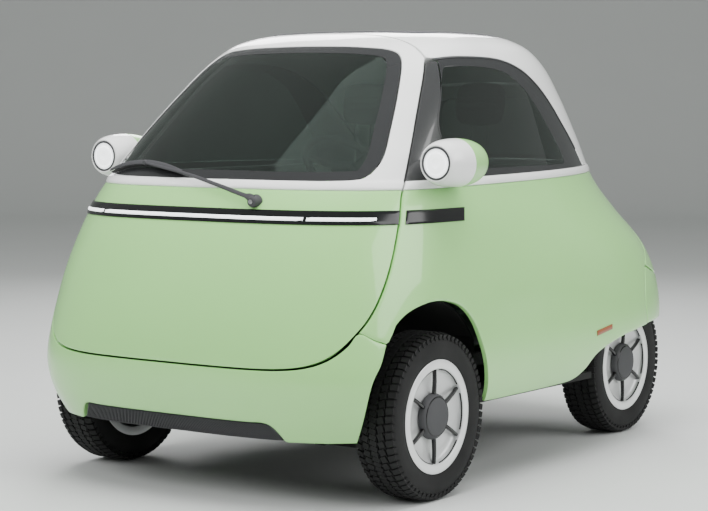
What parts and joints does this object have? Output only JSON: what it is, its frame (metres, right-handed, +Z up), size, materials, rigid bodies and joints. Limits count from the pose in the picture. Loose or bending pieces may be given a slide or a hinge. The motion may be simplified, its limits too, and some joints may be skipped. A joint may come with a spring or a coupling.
{
  "type": "two-seat electric microcar",
  "caption": "Small rounded two-seat electric car whose whole front opens as one door, with a tailgate, four wheels and steering.",
  "frame": {"origin": "on the ground under the middle of the car's length and width", "axes": "+Z up, front of the car towards -Y, car's left towards +X"},
  "size_m": [1.538, 2.5171, 1.5014],
  "materials": {
    "body_green": "gloss",
    "body_white": "gloss",
    "glass": "gloss",
    "trim_black": "gloss",
    "matt_black": "matt",
    "soft_top": "matt",
    "pod": "gloss",
    "light_red": "gloss",
    "marker": "gloss",
    "floor": "satin",
    "battery": "satin",
    "axle": "satin",
    "tyre": "matt",
    "rim": "satin",
    "seat": "matt"
  },
  "bodies": {
    "car_body": {"front_bumper": "body_green", "grille": "matt_black", "side_panel_left": "body_green", "side_panel_right": "body_green", "roof": "body_white", "sunroof": "soft_top", "side_window_left": "glass", "side_window_right": "glass", "quarter_panel_left": "trim_black", "quarter_panel_right": "trim_black", "mirror_pod_left": "pod", "mirror_pod_right": "pod", "rear_bumper": "body_green", "side_markers": "marker", "floor_pan": "floor", "front_tub": "floor", "rear_deck": "floor", "battery_pack": "battery", "motor_unit": "battery", "front_crossmember": "axle", "rear_axle": "axle", "seat_cushion": "seat", "seat_back": "seat", "headrests": "seat", "dashboard": "matt_black"},
    "front_door": {"front_door_panel": "body_green", "front_door_frame": "body_white", "windscreen": "glass", "front_light_bar": "trim_black", "wiper": "matt_black"},
    "tailgate": {"tailgate_panel": "body_green", "tailgate_frame": "body_white", "rear_window": "glass", "rear_light_bar": "light_red"},
    "steer_left": {"knuckle_left": "axle"},
    "steer_right": {"knuckle_right": "axle"},
    "steering": {"steering_wheel": "matt_black"},
    "wheel_front_left": {"tyre_front_left": "tyre", "rim_front_left": "rim"},
    "wheel_front_right": {"tyre_front_right": "tyre", "rim_front_right": "rim"},
    "wheel_rear_left": {"tyre_rear_left": "tyre", "rim_rear_left": "rim"},
    "wheel_rear_right": {"tyre_rear_right": "tyre", "rim_rear_right": "rim"}
  },
  "joints": [
    {"name": "front_door_hinge", "type": "hinge", "parent": "car_body", "child": "front_door", "pos_m": [0.68, -1.1, 0.7], "axis": [0, 0, 1], "range_deg": [0, 80]},
    {"name": "tailgate_hinge", "type": "hinge", "parent": "car_body", "child": "tailgate", "pos_m": [0, 0.694, 1.352], "axis": [1, 0, 0], "range_deg": [0, 70]},
    {"name": "steer_left_joint", "type": "hinge", "parent": "car_body", "child": "steer_left", "pos_m": [0.585, -0.749, 0.266], "axis": [0, 0, 1], "range_deg": [-30, 30]},
    {"name": "steer_right_joint", "type": "hinge", "parent": "car_body", "child": "steer_right", "pos_m": [-0.585, -0.749, 0.266], "axis": [0, 0, 1], "range_deg": [-30, 30]},
    {"name": "steering_wheel_joint", "type": "hinge", "parent": "car_body", "child": "steering", "pos_m": [0.262, -0.64, 1.025], "axis": [0, 0.7071, 0.7071], "range_deg": [-450, 450]},
    {"name": "wheel_front_left_spin", "type": "hinge", "parent": "steer_left", "child": "wheel_front_left", "pos_m": [0.626, -0.749, 0.266], "axis": [1, 0, 0], "continuous": true},
    {"name": "wheel_front_right_spin", "type": "hinge", "parent": "steer_right", "child": "wheel_front_right", "pos_m": [-0.626, -0.749, 0.266], "axis": [1, 0, 0], "continuous": true},
    {"name": "wheel_rear_left_spin", "type": "hinge", "parent": "car_body", "child": "wheel_rear_left", "pos_m": [0.463, 0.814, 0.266], "axis": [1, 0, 0], "continuous": true},
    {"name": "wheel_rear_right_spin", "type": "hinge", "parent": "car_body", "child": "wheel_rear_right", "pos_m": [-0.463, 0.814, 0.266], "axis": [1, 0, 0], "continuous": true}
  ],
  "couplings": [
    {"joint": "steer_right_joint", "follows": "steer_left_joint", "ratio": 1},
    {"joint": "steering_wheel_joint", "follows": "steer_left_joint", "ratio": 15}
  ]
}
